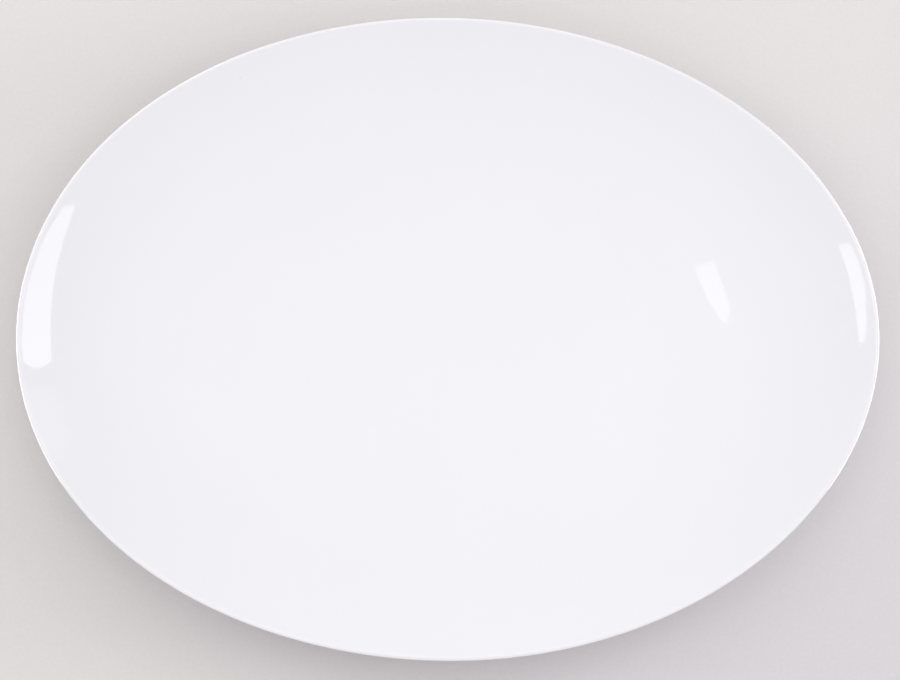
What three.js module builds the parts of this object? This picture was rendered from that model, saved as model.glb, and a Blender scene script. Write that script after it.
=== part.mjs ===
// Oval coupe serving platter: one porcelain body with a foot ring under it, and the two coats of glaze
// that are fired onto it and stop short of the bare foot.
// Millimetres, +Z up. The origin is the centre of the plane that the foot stands on, and +X runs along
// the platter.
import * as THREE from "three";
import { mergeGeometries, mergeVertices } from "three/addons/utils/BufferGeometryUtils.js";

// Driving dimensions. Insets are plan distances in from the edge of the clay.
const PLATTER_LENGTH = 356; // over the glazed lip
const PLATTER_WIDTH = 274; // over the glazed lip
const PLATTER_HEIGHT = 32; // from the table to the top of the glazed lip
const WELL_INSET = 85; // where the wall starts to rise from the flat well
const WELL_THICKNESS = 5.2; // clay
const LIP_THICKNESS = 1.5; // clay
const LIP_SLOPE = 31; // of the wall at the lip, in degrees
const GLAZE_THICKNESS = 0.3;
const GLAZE_BEAD = 0.8; // stretch over which the glaze thins out to its edge on the foot
const FOOT_INSET = 66; // outer side of the foot at the table
const FOOT_WIDTH = 4.8; // at the table, corners included
const FOOT_HEIGHT = 5.3; // from the table to the clay inside the foot
const FOOT_FLARE = 1.4; // how far each side of the foot leans out on its way up
const FOOT_CORNER = 1.1; // rounding at the table
const FOOT_FILLET = 1.6; // rounding where the foot meets the underside
const BARE_FOOT_HEIGHT = 1.9; // wiped clean of glaze before firing

// Facets.
const STEPS_AROUND = 80;
const FACE_STEPS = 8;
const LIP_STEPS = 4;
const UNDERSIDE_STEPS = 5;
const ROUNDING_STEPS = 2;
const SOLVER_STEPS = 40;

// The section is drawn across the platter, as (distance from the middle, height).
const halfWidth = PLATTER_WIDTH / 2 - GLAZE_THICKNESS;
const drawnLength = (PLATTER_LENGTH - PLATTER_WIDTH) / 2;
const wellRadius = halfWidth - WELL_INSET;
const wellTop = FOOT_HEIGHT + WELL_THICKNESS;
const point = (inset, height) => new THREE.Vector2(halfWidth - inset, height);

// The lip is a full round between the face and the underside.
const lipSlope = THREE.MathUtils.degToRad(LIP_SLOPE);
const lipRadius = LIP_THICKNESS / 2;
const lipTop = PLATTER_HEIGHT - GLAZE_THICKNESS;
const lip = new THREE.ArcCurve(
  halfWidth - lipRadius,
  lipTop - lipRadius,
  lipRadius,
  Math.PI / 2 + lipSlope,
  lipSlope - Math.PI / 2,
  true,
);

// The face leaves the flat well without a change of curvature and meets the lip at its slope.
function faceCurve() {
  const start = point(WELL_INSET, wellTop);
  const end = lip.getPoint(0);
  const aim = new THREE.Vector2(end.x - (end.y - wellTop) / Math.tan(lipSlope), wellTop);
  return new THREE.CubicBezierCurve(start, start.clone().lerp(aim, 0.5), aim, end);
}
const face = faceCurve();

// A point on the underside, below the face at a share of the way from the well to the lip. The clay thins
// slowly at first and faster towards the lip.
function undersidePoint(share) {
  const along = face.getTangent(share);
  const down = new THREE.Vector2(along.y, -along.x);
  const thickness = THREE.MathUtils.lerp(WELL_THICKNESS, LIP_THICKNESS, share * share);
  return face.getPoint(share).addScaledVector(down, thickness);
}

// The share of the way to the lip at which the underside is that far in, found by halving.
function undersideShare(inset) {
  let low = 0;
  let high = 1;
  for (let i = 0; i < SOLVER_STEPS; i++) {
    const middle = (low + high) / 2;
    if (undersidePoint(middle).x < halfWidth - inset) low = middle;
    else high = middle;
  }
  return low;
}

// The underside at an inset: below the wall, or flat below the well.
function undersideAt(inset) {
  return inset < WELL_INSET ? undersidePoint(undersideShare(inset)) : point(inset, FOOT_HEIGHT);
}

// Points that round off a corner, from one of its sides to the other.
function rounding(from, corner, to, radius) {
  const start = corner.clone().add(from.clone().sub(corner).setLength(radius));
  const end = corner.clone().add(to.clone().sub(corner).setLength(radius));
  return new THREE.QuadraticBezierCurve(start, corner, end).getPoints(ROUNDING_STEPS);
}

// One side of the foot, from the rounding at its root down to the edge of the glaze.
function glazedFlank(beforeRoot, root, base) {
  const down = base.clone().sub(root).normalize();
  const glazeEdge = root.clone().lerp(base, 1 - BARE_FOOT_HEIGHT / root.y);
  const beadStart = glazeEdge.clone().addScaledVector(down, -GLAZE_BEAD);
  return [...rounding(beforeRoot, root, base, FOOT_FILLET), beadStart, glazeEdge];
}

// The clay's section in three stretches, from the middle of the face round to the middle of the underside.
const outerBase = point(FOOT_INSET, 0);
const innerBase = point(FOOT_INSET + FOOT_WIDTH, 0);
const outerRoot = undersideAt(FOOT_INSET - FOOT_FLARE);
const innerRoot = point(FOOT_INSET + FOOT_WIDTH + FOOT_FLARE, FOOT_HEIGHT);
const underMiddle = new THREE.Vector2(0, FOOT_HEIGHT);

function dishSection() {
  const filletStart = FOOT_INSET - FOOT_FLARE - FOOT_FILLET;
  const lowestShare = undersideShare(filletStart);
  const underside = [];
  for (let i = 1; i < UNDERSIDE_STEPS; i++) {
    underside.push(undersidePoint(THREE.MathUtils.lerp(1, lowestShare, i / UNDERSIDE_STEPS)));
  }
  return [
    new THREE.Vector2(0, wellTop),
    ...face.getPoints(FACE_STEPS),
    ...lip.getPoints(LIP_STEPS).slice(1),
    ...underside,
    ...glazedFlank(undersideAt(filletStart), outerRoot, outerBase),
  ];
}

function bareFootSection() {
  return [
    ...rounding(outerRoot, outerBase, innerBase, FOOT_CORNER),
    ...rounding(outerBase, innerBase, innerRoot, FOOT_CORNER),
  ];
}

function recessSection() {
  return [...glazedFlank(underMiddle, innerRoot, innerBase).reverse(), underMiddle];
}

// The section moved out by the glaze's thickness, except at the glaze's edge, where it has none.
function glazeSurface(section, edge) {
  return section.map((here, i) => {
    if (here === edge) return here.clone();
    const before = section[i - 1] ?? here;
    const after = section[i + 1] ?? here;
    const along = after.clone().sub(before).normalize();
    const out = here.x === 0 ? new THREE.Vector2(0, along.x) : new THREE.Vector2(-along.y, along.x);
    return here.clone().addScaledVector(out, GLAZE_THICKNESS);
  });
}

// A section turned about the middle and drawn out along X. Rings outside the well all gain the same length,
// so lip, wall and foot keep one section all the way round, and the well's own rings shrink to the middle.
function ovalSurface(section) {
  const turned = new THREE.LatheGeometry(section.toReversed(), STEPS_AROUND).rotateX(Math.PI / 2);
  turned.deleteAttribute("normal").deleteAttribute("uv");
  const position = turned.getAttribute("position");
  for (let i = 0; i < position.count; i++) {
    const radius = Math.hypot(position.getX(i), position.getY(i));
    position.setX(i, position.getX(i) * (1 + drawnLength / Math.max(radius, wellRadius)));
  }
  return turned;
}

// The coat's own surface, closed by the clay's surface under it, whose faces are turned round.
function coatSurface(section, edge) {
  const bond = ovalSurface(section);
  bond.setIndex(Array.from(bond.index.array).reverse());
  return mergeGeometries([ovalSurface(glazeSurface(section, edge)), bond]);
}

function piece(name, surface, material) {
  const geometry = mergeVertices(surface);
  geometry.computeVertexNormals();
  const mesh = new THREE.Mesh(geometry, material);
  mesh.name = name;
  return mesh;
}

const barePorcelain = new THREE.MeshStandardMaterial({ color: 0xe8e5df, roughness: 0.75, metalness: 0 });
const whiteGlaze = new THREE.MeshStandardMaterial({ color: 0xf4f3f8, roughness: 0.08, metalness: 0 });

const dish = dishSection();
const recess = recessSection();

const platter = new THREE.Group();
platter.add(
  piece("porcelain_body", ovalSurface([...dish, ...bareFootSection(), ...recess]), barePorcelain),
  piece("main_glaze", coatSurface(dish, dish.at(-1)), whiteGlaze),
  piece("recess_glaze", coatSurface(recess, recess[0]), whiteGlaze),
);

export default platter;
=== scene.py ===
import math

import bpy
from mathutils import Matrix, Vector


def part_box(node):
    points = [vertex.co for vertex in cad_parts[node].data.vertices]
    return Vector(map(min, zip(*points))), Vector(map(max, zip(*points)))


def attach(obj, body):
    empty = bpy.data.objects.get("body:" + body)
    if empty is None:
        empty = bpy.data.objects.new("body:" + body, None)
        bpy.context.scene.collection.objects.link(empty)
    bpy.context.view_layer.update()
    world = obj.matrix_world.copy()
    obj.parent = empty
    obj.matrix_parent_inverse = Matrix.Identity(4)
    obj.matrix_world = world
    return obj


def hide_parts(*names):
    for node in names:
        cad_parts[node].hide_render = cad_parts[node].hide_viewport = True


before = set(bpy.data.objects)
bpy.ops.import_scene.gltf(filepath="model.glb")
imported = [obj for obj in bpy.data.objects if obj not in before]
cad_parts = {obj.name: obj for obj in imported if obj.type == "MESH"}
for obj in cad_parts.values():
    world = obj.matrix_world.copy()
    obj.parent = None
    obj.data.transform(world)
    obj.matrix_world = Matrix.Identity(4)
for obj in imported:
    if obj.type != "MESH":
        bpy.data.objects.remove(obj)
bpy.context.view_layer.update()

scene = bpy.context.scene

# Sizes of the platter in metres, as the solids have them. Insets are plan distances in from the edge
# of the clay.
glaze_low, glaze_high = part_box("main_glaze")
PLATTER_LENGTH = glaze_high.x - glaze_low.x
PLATTER_WIDTH = glaze_high.y - glaze_low.y
PLATTER_HEIGHT = glaze_high.z
WELL_INSET = 0.085
WELL_THICKNESS = 0.0052
LIP_THICKNESS = 0.0015
LIP_SLOPE = math.radians(31)
GLAZE_THICKNESS = 0.0003
GLAZE_BEAD = 0.0008
FOOT_INSET = 0.066
FOOT_WIDTH = 0.0048
FOOT_HEIGHT = 0.0053
FOOT_FLARE = 0.0014
FOOT_CORNER = 0.0011
FOOT_FILLET = 0.0016
BARE_FOOT_HEIGHT = 0.0019

# What the kiln does to the shape: slow swells of the clay, and a rim that is a little out of true.
# The crest is the share of a swell's height at which the clay is where it was.
WARP_HEIGHT = 0.0004
WARP_LENGTH = 0.16
WARP_CREST = 0.7
WARP_SEED = 4.0
RIM_THREEFOLD = 0.00033
RIM_FOURFOLD = 0.00019
RIM_FIVEFOLD = 0.00015

# How the glaze runs while it melts: thin over the lip, pooled round the foot. Both are shares of its even
# depth, and each has its reach. The thinnest place is a share of the way over the lip.
# The lighter tone where the glaze thins over the lip is partly the body showing through and partly a
# painted highlight along the lip.
LIP_THINNEST_AT = 0.7
LIP_THINNING = 0.8
LIP_THINNING_REACH = 0.0022
FOOT_POOLING = 0.8
FOOT_POOLING_REACH = 0.0045

# Specks in the glaze, and how high the standing edge is rubbed grey.
SPECK_SPACING = 0.045
SPECK_RADIUS = 0.0006
SPECKED_SHARE = 0.05
WEAR_HEIGHT = 0.0009

# Steps of the fine surface and of the search for a place on the underside, and how near points are merged.
STEPS_AROUND = 288
WELL_STEPS = 14
FACE_STEPS = 72
LIP_STEPS = 20
UNDERSIDE_STEPS = 36
ROUNDING_STEPS = 8
FLANK_STEPS = 8
RECESS_STEPS = 14
SOLVER_STEPS = 40
MERGE_DISTANCE = 1e-6

half_width = PLATTER_WIDTH / 2 - GLAZE_THICKNESS
drawn_length = (PLATTER_LENGTH - PLATTER_WIDTH) / 2
well_radius = half_width - WELL_INSET
well_top = FOOT_HEIGHT + WELL_THICKNESS
lip_radius = LIP_THICKNESS / 2


# The section, drawn across the platter as (distance from the middle, height)

def section_point(inset, height):
    return Vector((half_width - inset, height))


def stretch(start, end, steps):
    """Points from start up to, but not with, end."""
    return [start.lerp(end, i / steps) for i in range(steps)]


def bow(start, pull, end, steps):
    """Points from start to end, both included, on a curve that bends towards the pull."""
    shares = [i / steps for i in range(steps + 1)]
    return [start.lerp(pull, share).lerp(pull.lerp(end, share), share) for share in shares]


def lip_point(share):
    """A point of the round lip, from the face over the edge to the underside."""
    angle = math.pi / 2 + LIP_SLOPE - math.pi * share
    return Vector((half_width - lip_radius * (1 - math.cos(angle)),
                   PLATTER_HEIGHT - GLAZE_THICKNESS - lip_radius * (1 - math.sin(angle))))


def face_corners():
    """The four points that pull the face's curve from the flat well up to the lip."""
    start = section_point(WELL_INSET, well_top)
    end = lip_point(0)
    aim = Vector((end.x - (end.y - well_top) / math.tan(LIP_SLOPE), well_top))
    return [start, start.lerp(aim, 0.5), aim, end]


def face_point(share):
    a, b, c, d = face_corners()
    rest = 1 - share
    return a * rest**3 + 3 * b * rest**2 * share + 3 * c * rest * share**2 + d * share**3


def face_direction(share):
    a, b, c, d = face_corners()
    rest = 1 - share
    return ((b - a) * rest**2 + 2 * (c - b) * rest * share + (d - c) * share**2).normalized()


def underside_point(share):
    """The point below the face at a share of the way from the well to the lip."""
    along = face_direction(share)
    down = Vector((along.y, -along.x))
    return face_point(share) + down * (WELL_THICKNESS + (LIP_THICKNESS - WELL_THICKNESS) * share**2)


def underside_share(inset):
    """The share of the way to the lip at which the underside is that far in, found by halving."""
    low, high = 0.0, 1.0
    for _ in range(SOLVER_STEPS):
        middle = (low + high) / 2
        if underside_point(middle).x < half_width - inset:
            low = middle
        else:
            high = middle
    return low


def rounding(before, corner, after, radius):
    """Points that round off a corner, both ends included."""
    start = corner + (before - corner).normalized() * radius
    end = corner + (after - corner).normalized() * radius
    return bow(start, corner, end, ROUNDING_STEPS)


def glazed_flank(before_root, root, base):
    """One side of the foot, from the rounding at its root down to the edge of the glaze."""
    edge = root.lerp(base, 1 - BARE_FOOT_HEIGHT / root.y)
    fillet = rounding(before_root, root, base, FOOT_FILLET)
    return fillet + stretch(fillet[-1], edge, FLANK_STEPS)[1:] + [edge]


outer_base = section_point(FOOT_INSET, 0)
inner_base = section_point(FOOT_INSET + FOOT_WIDTH, 0)
outer_root = underside_point(underside_share(FOOT_INSET - FOOT_FLARE))
inner_root = section_point(FOOT_INSET + FOOT_WIDTH + FOOT_FLARE, FOOT_HEIGHT)
face_middle = Vector((0, well_top))
under_middle = Vector((0, FOOT_HEIGHT))


def dish_section():
    """Face, lip and outside, down to the edge of the glaze on the foot, with finer steps at the lip."""
    lowest = underside_share(FOOT_INSET - FOOT_FLARE - FOOT_FILLET)
    face_shares = [1 - (1 - i / FACE_STEPS)**2 for i in range(FACE_STEPS)]
    underside_shares = [1 + (lowest - 1) * (i / UNDERSIDE_STEPS)**2 for i in range(1, UNDERSIDE_STEPS)]
    return (
        stretch(face_middle, face_point(0), WELL_STEPS)
        + [face_point(share) for share in face_shares]
        + [lip_point(i / LIP_STEPS) for i in range(LIP_STEPS + 1)]
        + [underside_point(share) for share in underside_shares]
        + glazed_flank(underside_point(lowest), outer_root, outer_base)
    )


def bare_foot_section():
    return (
        rounding(outer_root, outer_base, inner_base, FOOT_CORNER)
        + rounding(outer_base, inner_base, inner_root, FOOT_CORNER)
    )


def recess_section():
    flank = glazed_flank(under_middle, inner_root, inner_base)
    flank.reverse()
    return flank + stretch(flank[-1], under_middle, RECESS_STEPS)[1:] + [under_middle]


def glaze_surface(section, edge):
    """The section moved out by the glaze, which rounds off to nothing at its edge on the foot."""
    surface = []
    for i, here in enumerate(section):
        along = (section[min(i + 1, len(section) - 1)] - section[max(i - 1, 0)]).normalized()
        out = Vector((-along.y, along.x))
        if here.x == 0:
            out = Vector((0, math.copysign(1, out.y)))
        cover = min(1, (here - edge).length / GLAZE_BEAD)
        surface.append(here + out * GLAZE_THICKNESS * math.sqrt(cover * (2 - cover)))
    return surface


def closeness(point, spot, reach):
    """1 at the spot, down to 0 that far away from it."""
    return max(0, 1 - (point - spot).length / reach)


def glaze_depth(point):
    """How deep the glaze looks at a point of the section: thin over the lip, pooled round the foot. The
    thin lip also gets a painted highlight.
    """
    to_lip = closeness(point, lip_point(LIP_THINNEST_AT), LIP_THINNING_REACH)
    to_foot = max(closeness(point, root, FOOT_POOLING_REACH) for root in (outer_root, inner_root))
    return 1 - LIP_THINNING * to_lip + FOOT_POOLING * to_foot


# Node trees

def add(tree, kind, inputs=None, **settings):
    """A node with its settings, and with a value or a link on each named or numbered input."""
    node = tree.nodes.new(kind)
    for name, value in settings.items():
        setattr(node, name, value)
    for key, value in (inputs or {}).items():
        if isinstance(value, bpy.types.NodeSocket):
            tree.links.new(value, node.inputs[key])
        else:
            node.inputs[key].default_value = value
    return node


def calc(tree, operation, *values):
    return add(tree, "ShaderNodeMath", dict(enumerate(values)), operation=operation).outputs[0]


def oval_turning_tree():
    """Turns a section about the middle and draws it out along X, with the swells of the firing."""
    tree = bpy.data.node_groups.new("oval_turning", "GeometryNodeTree")
    for name, kind in (
        ("Section", "NodeSocketGeometry"),
        ("Steps Around", "NodeSocketInt"),
        ("Drawn Length", "NodeSocketFloat"),
        ("Well Radius", "NodeSocketFloat"),
        ("Rim Radius", "NodeSocketFloat"),
        ("Rim Threefold", "NodeSocketFloat"),
        ("Rim Fourfold", "NodeSocketFloat"),
        ("Rim Fivefold", "NodeSocketFloat"),
        ("Foot Height", "NodeSocketFloat"),
        ("Warp Height", "NodeSocketFloat"),
        ("Warp Length", "NodeSocketFloat"),
        ("Warp Crest", "NodeSocketFloat"),
        ("Warp Seed", "NodeSocketFloat"),
        ("Finish", "NodeSocketMaterial"),
    ):
        tree.interface.new_socket(name, in_out="INPUT", socket_type=kind)
    tree.interface.new_socket("Piece", in_out="OUTPUT", socket_type="NodeSocketGeometry")
    given = tree.nodes.new("NodeGroupInput").outputs

    # One column of the grid for each step around, one row for each point of the section.
    counts = add(tree, "GeometryNodeAttributeDomainSize", {"Geometry": given["Section"]}).outputs
    rows = counts["Point Count"]
    columns = calc(tree, "ADD", given["Steps Around"], 1)
    grid = add(tree, "GeometryNodeMeshGrid", {"Vertices X": columns, "Vertices Y": rows}).outputs["Mesh"]
    index = tree.nodes.new("GeometryNodeInputIndex").outputs[0]
    row = add(tree, "FunctionNodeIntegerMath", {0: index, 1: rows}, operation="MODULO").outputs[0]
    column = add(tree, "FunctionNodeIntegerMath", {0: index, 1: rows}, operation="DIVIDE_FLOOR").outputs[0]

    def on_section(value, data_type):
        """A value of the section's point in each row."""
        inputs = {"Geometry": given["Section"], "Value": value, "Index": row}
        return add(tree, "GeometryNodeSampleIndex", inputs, data_type=data_type).outputs["Value"]

    section_place = on_section(tree.nodes.new("GeometryNodeInputPosition").outputs[0], "FLOAT_VECTOR")
    radius, _, height = add(tree, "ShaderNodeSeparateXYZ", {0: section_place}).outputs
    drawn_depth = add(tree, "GeometryNodeInputNamedAttribute", {"Name": "glaze_depth"}, data_type="FLOAT")
    depth = on_section(drawn_depth.outputs["Attribute"], "FLOAT")

    # Rings outside the well all gain the same length, and the well's own rings shrink to the middle.
    angle = calc(tree, "MULTIPLY", calc(tree, "DIVIDE", column, given["Steps Around"]), 2 * math.pi)
    well_or_more = calc(tree, "MAXIMUM", radius, given["Well Radius"])
    gain = calc(tree, "DIVIDE", given["Drawn Length"], well_or_more)
    long_radius = calc(tree, "MULTIPLY", radius, calc(tree, "ADD", gain, 1))
    cosine = calc(tree, "COSINE", angle)
    sine = calc(tree, "SINE", angle)

    # The rim is out of true in waves around it that leave its four ends in place. The well stays true.
    wave = calc(tree, "SINE", calc(tree, "MULTIPLY", angle, 4))
    out_of_true = calc(tree, "MULTIPLY", given["Rim Fourfold"], wave)
    for fold, amount in ((3, "Rim Threefold"), (5, "Rim Fivefold")):
        wave = calc(tree, "SUBTRACT", calc(tree, "COSINE", calc(tree, "MULTIPLY", angle, fold)), cosine)
        out_of_true = calc(tree, "ADD", out_of_true, calc(tree, "MULTIPLY", given[amount], wave))
    to_rim = {"Value": radius, "From Min": given["Well Radius"], "From Max": given["Rim Radius"]}
    to_rim = add(tree, "ShaderNodeMapRange", to_rim, interpolation_type="SMOOTHSTEP").outputs["Result"]
    outwards = calc(tree, "MULTIPLY", out_of_true, to_rim)
    x = calc(tree, "MULTIPLY", calc(tree, "ADD", long_radius, outwards), cosine)
    y = calc(tree, "MULTIPLY", calc(tree, "ADD", radius, outwards), sine)

    # The clay sinks in slow swells, which fade out towards the table, so that the foot stands flat.
    plan = add(tree, "ShaderNodeCombineXYZ", {"X": x, "Y": y}).outputs[0]
    swell = add(
        tree,
        "ShaderNodeTexNoise",
        {
            "Vector": plan,
            "W": given["Warp Seed"],
            "Scale": calc(tree, "DIVIDE", 1, given["Warp Length"]),
            "Detail": 1,
        },
        noise_dimensions="4D",
    ).outputs["Fac"]
    share = calc(tree, "DIVIDE", height, given["Foot Height"])
    share = add(tree, "ShaderNodeClamp", {0: share}).outputs[0]
    lift = calc(tree, "MULTIPLY", calc(tree, "SUBTRACT", swell, given["Warp Crest"]), given["Warp Height"])
    z = calc(tree, "ADD", height, calc(tree, "MULTIPLY", lift, share))

    place = add(tree, "ShaderNodeCombineXYZ", {"X": x, "Y": y, "Z": z}).outputs[0]
    piece = add(tree, "GeometryNodeSetPosition", {"Geometry": grid, "Position": place}).outputs[0]
    inputs = {"Geometry": piece, "Name": "glaze_depth", "Value": depth}
    piece = add(tree, "GeometryNodeStoreNamedAttribute", inputs, data_type="FLOAT").outputs[0]
    inputs = {"Geometry": piece, "Distance": MERGE_DISTANCE}
    piece = add(tree, "GeometryNodeMergeByDistance", inputs).outputs[0]

    # Bent round in this order, the grid's faces look inwards.
    piece = add(tree, "GeometryNodeFlipFaces", {"Mesh": piece}).outputs[0]
    piece = add(tree, "GeometryNodeSetShadeSmooth", {"Geometry": piece}).outputs[0]
    piece = add(tree, "GeometryNodeRealizeInstances", {"Geometry": piece}).outputs[0]
    inputs = {"Geometry": piece, "Material": given["Finish"]}
    piece = add(tree, "GeometryNodeSetMaterial", inputs).outputs[0]
    tree.links.new(piece, tree.nodes.new("NodeGroupOutput").inputs[0])
    return tree


def turned_piece(name, section, finish, tree):
    """The finished mesh of a section, which runs from the middle round to the middle."""
    line = bpy.data.meshes.new(name + "_section")
    line.from_pydata([(p.x, 0, p.y) for p in section], [(i, i + 1) for i in range(len(section) - 1)], [])
    depth = line.attributes.new("glaze_depth", "FLOAT", "POINT")
    depth.data.foreach_set("value", [glaze_depth(p) for p in section])
    drawing = bpy.data.objects.new(name + "_drawing", line)
    scene.collection.objects.link(drawing)
    modifier = drawing.modifiers.new("oval_turning", "NODES")
    modifier.node_group = tree
    sizes = {
        "Steps Around": STEPS_AROUND,
        "Drawn Length": drawn_length,
        "Well Radius": well_radius,
        "Rim Radius": half_width,
        "Rim Threefold": RIM_THREEFOLD,
        "Rim Fourfold": RIM_FOURFOLD,
        "Rim Fivefold": RIM_FIVEFOLD,
        "Foot Height": FOOT_HEIGHT,
        "Warp Height": WARP_HEIGHT,
        "Warp Length": WARP_LENGTH,
        "Warp Crest": WARP_CREST,
        "Warp Seed": WARP_SEED,
        "Finish": finish,
    }
    for socket in tree.interface.items_tree:
        if socket.name in sizes:
            modifier[socket.identifier] = sizes[socket.name]
    evaluated = drawing.evaluated_get(bpy.context.evaluated_depsgraph_get())
    mesh = bpy.data.meshes.new_from_object(evaluated)
    mesh.name = name
    drawing.modifiers.remove(modifier)
    bpy.data.objects.remove(drawing)
    piece = bpy.data.objects.new(name, mesh)
    scene.collection.objects.link(piece)
    return piece


# Finishes, with their colours as linear red, green, blue and alpha, and their sizes in metres

# Most of a noise lies between these two.
NOISE_LOW = 0.3
NOISE_HIGH = 0.7

GLAZE_DARKER = (0.845, 0.837, 0.876, 1)
GLAZE_LIGHTER = (0.862, 0.853, 0.892, 1)
GLAZE_THIN_AND_PAINTED_HIGHLIGHT = (0.875, 0.866, 0.885, 1)
GLAZE_POOLED = (0.80, 0.81, 0.86, 1)
GLAZE_SPECK = (0.80, 0.785, 0.80, 1)
GLAZE_CLOUD = 0.05
GLAZE_SMOOTHEST = 0.015
GLAZE_DULLEST = 0.03
GLAZE_DULL_PATCH = 0.02
GLAZE_IOR = 1.52
RIPPLE_LENGTH = 0.006
RIPPLE_DEPTH = 0.0005
RIPPLE_STRENGTH = 0.02

CLAY_DARKER = (0.74, 0.71, 0.67, 1)
CLAY_LIGHTER = (0.83, 0.81, 0.78, 1)
CLAY_BLUSH = (0.78, 0.69, 0.58, 1)
CLAY_RUBBED = (0.56, 0.55, 0.54, 1)
BLUSH_STRENGTH = 0.6
RUBBED_PATCH = 0.03
RUBBED_RAGGEDNESS = 0.7
RUBBED_FULLY = 0.75
CLAY_ROUGHNESS = 0.75
RUBBED_ROUGHNESS = 0.5
GRIT_SIZE = 0.0006
GRIT_DEPTH = 0.0002
GRIT_STRENGTH = 0.3

# The floor's tones hold painted light falloff: lit at the back left, shaded at the front right.
FLOOR_LIT_BACK_LEFT = (0.70, 0.673, 0.667, 1)
FLOOR_MIDDLE = (0.682, 0.656, 0.655, 1)
FLOOR_SHADED_FRONT_RIGHT = (0.622, 0.594, 0.612, 1)
FLOOR_FADE = 0.32
FLOOR_GRAIN = 0.0015
FLOOR_GRAIN_SHADE = 0.015
FLOOR_ROUGHNESS = 0.6


def new_material(name):
    material = bpy.data.materials.new(name)
    material.use_nodes = True
    tree = material.node_tree
    shader = tree.nodes["Principled BSDF"]
    at = tree.nodes.new("ShaderNodeTexCoord").outputs["Object"]
    return material, tree, shader, at


def noise(tree, at, size, detail=2.0, roughness=0.5):
    """Noise whose lumps are about that many metres long, from 0 to 1."""
    inputs = {"Vector": at, "Scale": 1 / size, "Detail": detail, "Roughness": roughness}
    return add(tree, "ShaderNodeTexNoise", inputs).outputs["Fac"]


def spread(tree, value, low, high, to_low=0.0, to_high=1.0, smooth=False):
    """The value's stretch from low to high laid out over another one, and held at its ends."""
    inputs = {"Value": value, "From Min": low, "From Max": high, "To Min": to_low, "To Max": to_high}
    kind = "SMOOTHSTEP" if smooth else "LINEAR"
    return add(tree, "ShaderNodeMapRange", inputs, interpolation_type=kind).outputs["Result"]


def bump(tree, shader, height, depth, strength):
    """Makes the surface look as deep as that where the height goes from 0 to 1."""
    inputs = {"Strength": strength, "Distance": depth, "Height": height}
    tree.links.new(add(tree, "ShaderNodeBump", inputs).outputs["Normal"], shader.inputs["Normal"])


def mixed(tree, share, first, second):
    """A colour between two, on the sockets that the node keeps for colours."""
    return add(tree, "ShaderNodeMix", {0: share, 6: first, 7: second}, data_type="RGBA").outputs[2]


def white_glaze():
    """Glossy white over white clay: faint clouds, thin on the lip with a painted highlight there, pooled at
    the foot, and rare specks.
    """
    material, tree, shader, at = new_material("white_glaze")
    tone = mixed(tree, noise(tree, at, GLAZE_CLOUD), GLAZE_DARKER, GLAZE_LIGHTER)
    depth = add(tree, "ShaderNodeAttribute", attribute_name="glaze_depth").outputs["Fac"]
    # Lighter over the lip: partly the body through thin glaze, partly a painted highlight along the lip.
    tone = mixed(tree, spread(tree, depth, 1.0, 1 - LIP_THINNING), tone, GLAZE_THIN_AND_PAINTED_HIGHLIGHT)
    tone = mixed(tree, spread(tree, depth, 1.0, 1 + FOOT_POOLING), tone, GLAZE_POOLED)

    # At most one speck to each cell of the pattern, and most cells have none.
    inputs = {"Vector": at, "Scale": 1 / SPECK_SPACING}
    cells = add(tree, "ShaderNodeTexVoronoi", inputs, voronoi_dimensions="2D").outputs
    reach = SPECK_RADIUS / SPECK_SPACING
    dot = spread(tree, cells["Distance"], reach, reach / 2, smooth=True)
    cell_red = add(tree, "ShaderNodeSeparateColor", {0: cells["Color"]}).outputs["Red"]
    has_speck = calc(tree, "LESS_THAN", cell_red, SPECKED_SHARE)
    tone = mixed(tree, calc(tree, "MULTIPLY", dot, has_speck), tone, GLAZE_SPECK)
    tree.links.new(tone, shader.inputs["Base Color"])

    patches = noise(tree, at, GLAZE_DULL_PATCH)
    dulled = spread(tree, patches, NOISE_LOW, NOISE_HIGH, GLAZE_SMOOTHEST, GLAZE_DULLEST)
    tree.links.new(dulled, shader.inputs["Roughness"])
    shader.inputs["IOR"].default_value = GLAZE_IOR
    ripple = noise(tree, at, RIPPLE_LENGTH, detail=1)
    bump(tree, shader, ripple, RIPPLE_DEPTH, RIPPLE_STRENGTH)
    return material


def bare_porcelain():
    """Unglazed clay: fine grit, a warm blush below the edge of the glaze, grey where it rubs on tables."""
    material, tree, shader, at = new_material("bare_porcelain")
    height = add(tree, "ShaderNodeSeparateXYZ", {0: at}).outputs["Z"]
    grit = noise(tree, at, GRIT_SIZE, detail=4)
    tone = mixed(tree, grit, CLAY_DARKER, CLAY_LIGHTER)
    blush = spread(tree, height, BARE_FOOT_HEIGHT / 2, BARE_FOOT_HEIGHT, 0.0, BLUSH_STRENGTH, smooth=True)
    tone = mixed(tree, blush, tone, CLAY_BLUSH)
    patches = noise(tree, at, RUBBED_PATCH, detail=5, roughness=RUBBED_RAGGEDNESS)
    patches = spread(tree, patches, NOISE_LOW, RUBBED_FULLY)
    rubbed = calc(tree, "MULTIPLY", patches, spread(tree, height, WEAR_HEIGHT, 0.0))
    tone = mixed(tree, rubbed, tone, CLAY_RUBBED)
    tree.links.new(tone, shader.inputs["Base Color"])
    roughness = spread(tree, rubbed, 0.0, 1.0, CLAY_ROUGHNESS, RUBBED_ROUGHNESS)
    tree.links.new(roughness, shader.inputs["Roughness"])
    bump(tree, shader, grit, GRIT_DEPTH, GRIT_STRENGTH)
    return material


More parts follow.
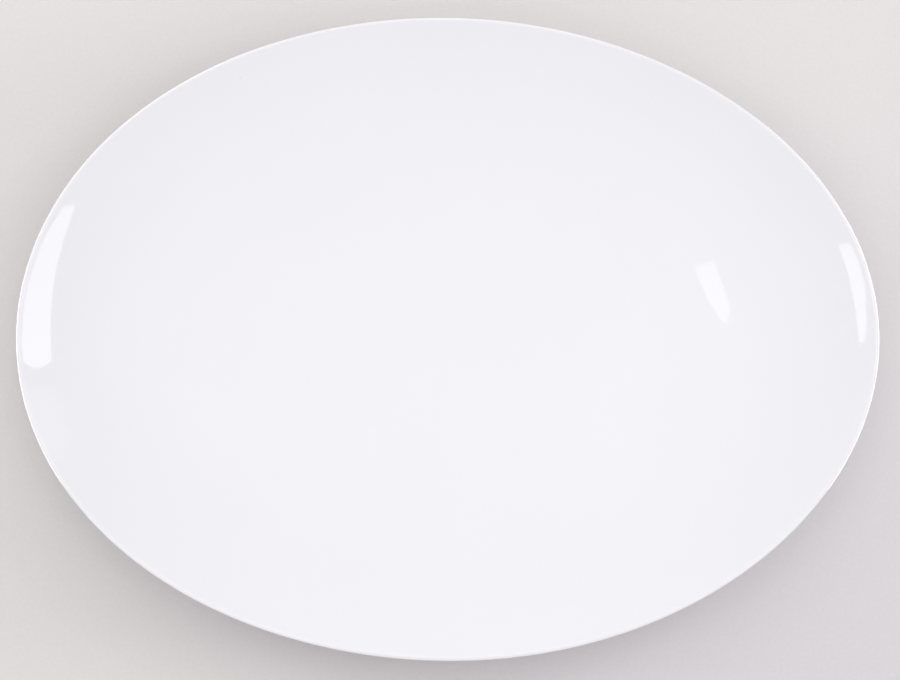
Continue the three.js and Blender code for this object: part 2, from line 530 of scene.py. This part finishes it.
def pale_floor():
    """Pale board with painted light falloff: lightest at the back left, a little cooler and darker at the
    front right.
    """
    material, tree, shader, at = new_material("pale_floor")
    x, y, _ = add(tree, "ShaderNodeSeparateXYZ", {0: at}).outputs
    # Painted light falloff across the floor, from the back left to the front right.
    to_front_right = calc(tree, "SUBTRACT", x, y)
    tone = mixed(tree, spread(tree, to_front_right, -FLOOR_FADE, 0.0), FLOOR_LIT_BACK_LEFT, FLOOR_MIDDLE)
    tone = mixed(tree, spread(tree, to_front_right, 0.0, FLOOR_FADE), tone, FLOOR_SHADED_FRONT_RIGHT)
    grain = noise(tree, at, FLOOR_GRAIN, detail=3)
    grain = spread(tree, grain, NOISE_LOW, NOISE_HIGH, 1 - FLOOR_GRAIN_SHADE, 1 + FLOOR_GRAIN_SHADE)
    shade = add(tree, "ShaderNodeVectorMath", {0: tone}, operation="SCALE")
    tree.links.new(grain, shade.inputs["Scale"])
    tree.links.new(shade.outputs[0], shader.inputs["Base Color"])
    shader.inputs["Roughness"].default_value = FLOOR_ROUGHNESS
    shader.inputs["Specular IOR Level"].default_value = 0.0
    return material


# The three pieces

def build_platter():
    turning = oval_turning_tree()
    glaze = white_glaze()
    clay = bare_porcelain()
    dish = dish_section()
    recess = recess_section()
    body = turned_piece("platter_body", dish + bare_foot_section() + recess, clay, turning)

    # A coat runs along its own surface and back along the clay, and the two share one point at its edge.
    coat = glaze_surface(dish, dish[-1])
    main = turned_piece("platter_main_glaze", coat + dish[-2::-1], glaze, turning)
    coat = glaze_surface(recess, recess[0])
    under = turned_piece("platter_recess_glaze", recess[:0:-1] + coat, glaze, turning)

    for piece, node, slot in (
        (body, "porcelain_body", "bare_porcelain"),
        (main, "main_glaze", "white_glaze"),
        (under, "recess_glaze", "white_glaze"),
    ):
        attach(piece, "root")
        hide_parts(node)


# The floor, the light and the camera

CAMERA_ELEVATION = math.radians(75.585)
CAMERA_BEARING = math.radians(0.686 - 90)
CAMERA_DISTANCE = 1.6
CAMERA_LENS = 154.11
CAMERA_AIM = Vector((0.00094, -0.00036, 0.02))

FLOOR_SIZE = 12.0

# The white studio around the platter: an even part, and soft lights in it. Each has its height over the
# horizon and its bearing from +X in degrees, how narrow it is, and its brightness.
WORLD_EVEN = 0.4
WORLD_LIGHTS = {
    "overhead": (90, 0, 4, 0.91),
    "front": (40, -90, 4, 0.74),
    "low_back": (15, 90, 4, 0.67),
    "low_right": (12, 30, 60, 4.0),
    "low_left": (12, 150, 60, 5.1),
}

# Brightness and height of the panels of light, and the steps of a bowed side.
RIGHT_SOFTBOX = 3.15
LEFT_SOFTBOX = 3.0
OVERHEAD_LAMP = 2.9
RIGHT_CARD = 1.15
FRONT_CARD = 1.5
FLOOR_LIGHT = 13.0
SOFTBOX_HEIGHT = 1.0
LAMP_HEIGHT = 20.0
BOW_STEPS = 12

# The light for the floor: its width, and the distance to the right and the height of its two long edges.
FLOOR_LIGHT_WIDTH = 1.0
FLOOR_LIGHT_LOWER_EDGE = (2.48, 0.41)
FLOOR_LIGHT_UPPER_EDGE = (2.35, 0.89)

# Cards that lie along the rim, each from one angle round the oval to the next in degrees, with its
# brightness.
LIP_CARDS = {
    "right_lip_card": (-26, 25, 4.6),
    "back_right_lip_card": (25, 47, 2.6),
    "back_lip_card": (47, 114, 0.8),
    "back_left_lip_card": (114, 166, 2.6),
    "left_lip_card": (166, 206, 4.6),
}
LIP_CARD_WIDTH = 0.25
LIP_CARD_LIFT = 0.001
LIP_CARD_STEPS = 24


def direction(height, bearing):
    """The unit vector at that height over the horizon and that bearing from +X."""
    level = math.cos(height)
    return Vector((level * math.cos(bearing), level * math.sin(bearing), math.sin(height)))


def place_camera():
    back = direction(CAMERA_ELEVATION, CAMERA_BEARING)
    camera = bpy.data.objects.new("camera", bpy.data.cameras.new("camera"))
    camera.data.lens = CAMERA_LENS
    camera.location = CAMERA_AIM + back * CAMERA_DISTANCE
    camera.rotation_euler = (-back).to_track_quat("-Z", "Y").to_euler()
    scene.collection.objects.link(camera)
    scene.camera = camera


def lay_floor():
    mesh = bpy.data.meshes.new("floor")
    half = FLOOR_SIZE / 2
    corners = [(-half, -half, 0), (half, -half, 0), (half, half, 0), (-half, half, 0)]
    mesh.from_pydata(corners, [], [(0, 1, 2, 3)])
    mesh.materials.append(pale_floor())
    floor = bpy.data.objects.new("floor", mesh)
    scene.collection.objects.link(floor)
    return floor


def light_panel(name, points, faces, brightness):
    """A panel of light that the camera doesn't see."""
    mesh = bpy.data.meshes.new(name)
    mesh.from_pydata(points, [], faces)
    material = bpy.data.materials.new(name)
    material.use_nodes = True
    tree = material.node_tree
    tree.nodes.remove(tree.nodes["Principled BSDF"])
    glow = add(tree, "ShaderNodeEmission", {"Strength": brightness})
    tree.links.new(glow.outputs[0], tree.nodes["Material Output"].inputs["Surface"])
    mesh.materials.append(material)
    panel = bpy.data.objects.new(name, mesh)
    panel.visible_camera = False
    scene.collection.objects.link(panel)
    return panel


def bowed_panel(name, height, sides, brightness):
    """A level panel, given by its sides. Each starts at a corner, and bends if it has a pull."""
    outline = []
    for i, (corner, pull) in enumerate(sides):
        following = sides[(i + 1) % len(sides)][0]
        outline += bow(Vector(corner), Vector(pull or corner), Vector(following), BOW_STEPS)[:-1]
    return light_panel(name, [(x, y, height) for x, y in outline], [range(len(outline))], brightness)


def only_mirrored(panel):
    """The glaze mirrors the panel, which lights nothing else."""
    panel.visible_diffuse = False
    panel.visible_shadow = False


def lip_card(name, start, end, brightness):
    """A card on the table along the rim, which the outside of the lip mirrors."""
    points = []
    for i in range(LIP_CARD_STEPS + 1):
        angle = math.radians(start + (end - start) * i / LIP_CARD_STEPS)
        for out in (0, LIP_CARD_WIDTH):
            x = (PLATTER_LENGTH / 2 + out) * math.cos(angle)
            y = (PLATTER_WIDTH / 2 + out) * math.sin(angle)
            points.append((x, y, LIP_CARD_LIFT))
    faces = [(i, i + 1, i + 3, i + 2) for i in range(0, len(points) - 2, 2)]
    only_mirrored(light_panel(name, points, faces, brightness))


def set_world():
    world = bpy.data.worlds.new("studio")
    scene.world = world
    world.use_nodes = True
    tree = world.node_tree
    background = tree.nodes["Background"]
    background.inputs["Color"].default_value = (1, 1, 1, 1)
    at = tree.nodes.new("ShaderNodeTexCoord").outputs["Generated"]
    total = WORLD_EVEN
    for height, bearing, narrowness, brightness in WORLD_LIGHTS.values():
        axis = direction(math.radians(height), math.radians(bearing))
        towards = add(tree, "ShaderNodeVectorMath", {0: at, 1: axis}, operation="DOT_PRODUCT")
        towards = calc(tree, "MAXIMUM", towards.outputs["Value"], 0)
        light = calc(tree, "POWER", towards, narrowness)
        total = calc(tree, "ADD", total, calc(tree, "MULTIPLY", light, brightness))
    tree.links.new(total, background.inputs["Strength"])


def light_floor(floor):
    """A low light from the right that falls on the floor alone."""
    side = FLOOR_LIGHT_WIDTH / 2
    low_x, low_z = FLOOR_LIGHT_LOWER_EDGE
    high_x, high_z = FLOOR_LIGHT_UPPER_EDGE
    corners = [(low_x, -side, low_z), (low_x, side, low_z), (high_x, side, high_z), (high_x, -side, high_z)]
    panel = light_panel("floor_light", corners, [(0, 1, 2, 3)], FLOOR_LIGHT)
    panel.visible_glossy = False
    floor_alone = bpy.data.collections.new("floor_alone")
    floor_alone.objects.link(floor)
    panel.light_linking.receiver_collection = floor_alone


def light_platter():
    """Lamps that light the platter and show in its glaze, and cards that only show there."""
    # The left wall mirrors the right softbox, the right wall the left one, the edge of the well the lamp.
    bowed_panel("right_softbox", SOFTBOX_HEIGHT, [
        ((0.81, -0.20), (0.90, 0.27)),
        ((0.88, 0.505), (1.085, 0.66)),
        ((1.225, 0.635), (1.165, 0.095)),
        ((0.905, -0.205), None),
    ], RIGHT_SOFTBOX)
    bowed_panel("left_softbox", SOFTBOX_HEIGHT, [
        ((-0.897, -0.09), (-0.985, 0.17)),
        ((-1.055, 0.425), (-1.09, 0.465)),
        ((-1.13, 0.435), (-1.135, 0.03)),
        ((-0.995, -0.108), None),
    ], LEFT_SOFTBOX)
    bowed_panel("overhead_lamp", LAMP_HEIGHT, [
        ((-1.40, 3.20), (-0.96, 3.64)),
        ((-0.90, 4.24), (-2.09, 4.92)),
        ((-2.85, 3.81), (-2.70, 2.87)),
        ((-3.19, 2.02), None),
    ], OVERHEAD_LAMP)
    card = bowed_panel("right_card", SOFTBOX_HEIGHT, [
        ((0.88, 0.74), (0.78, 1.115)),
        ((1.28, 1.35), None),
        ((1.32, 0.83), (1.02, 0.67)),
    ], RIGHT_CARD)
    only_mirrored(card)
    for name, side in (("front_right_card", 1), ("front_left_card", -1)):
        card = bowed_panel(name, SOFTBOX_HEIGHT, [
            ((side * 0.45, -1.48), None),
            ((side * 1.24, -0.93), None),
            ((side * 2.0, -1.5), None),
            ((side * 0.73, -2.39), None),
        ], FRONT_CARD)
        only_mirrored(card)
    for name, (start, end, brightness) in LIP_CARDS.items():
        lip_card(name, start, end, brightness)


scene.view_settings.view_transform = "Standard"
build_platter()
set_world()
light_floor(lay_floor())
light_platter()
place_camera()
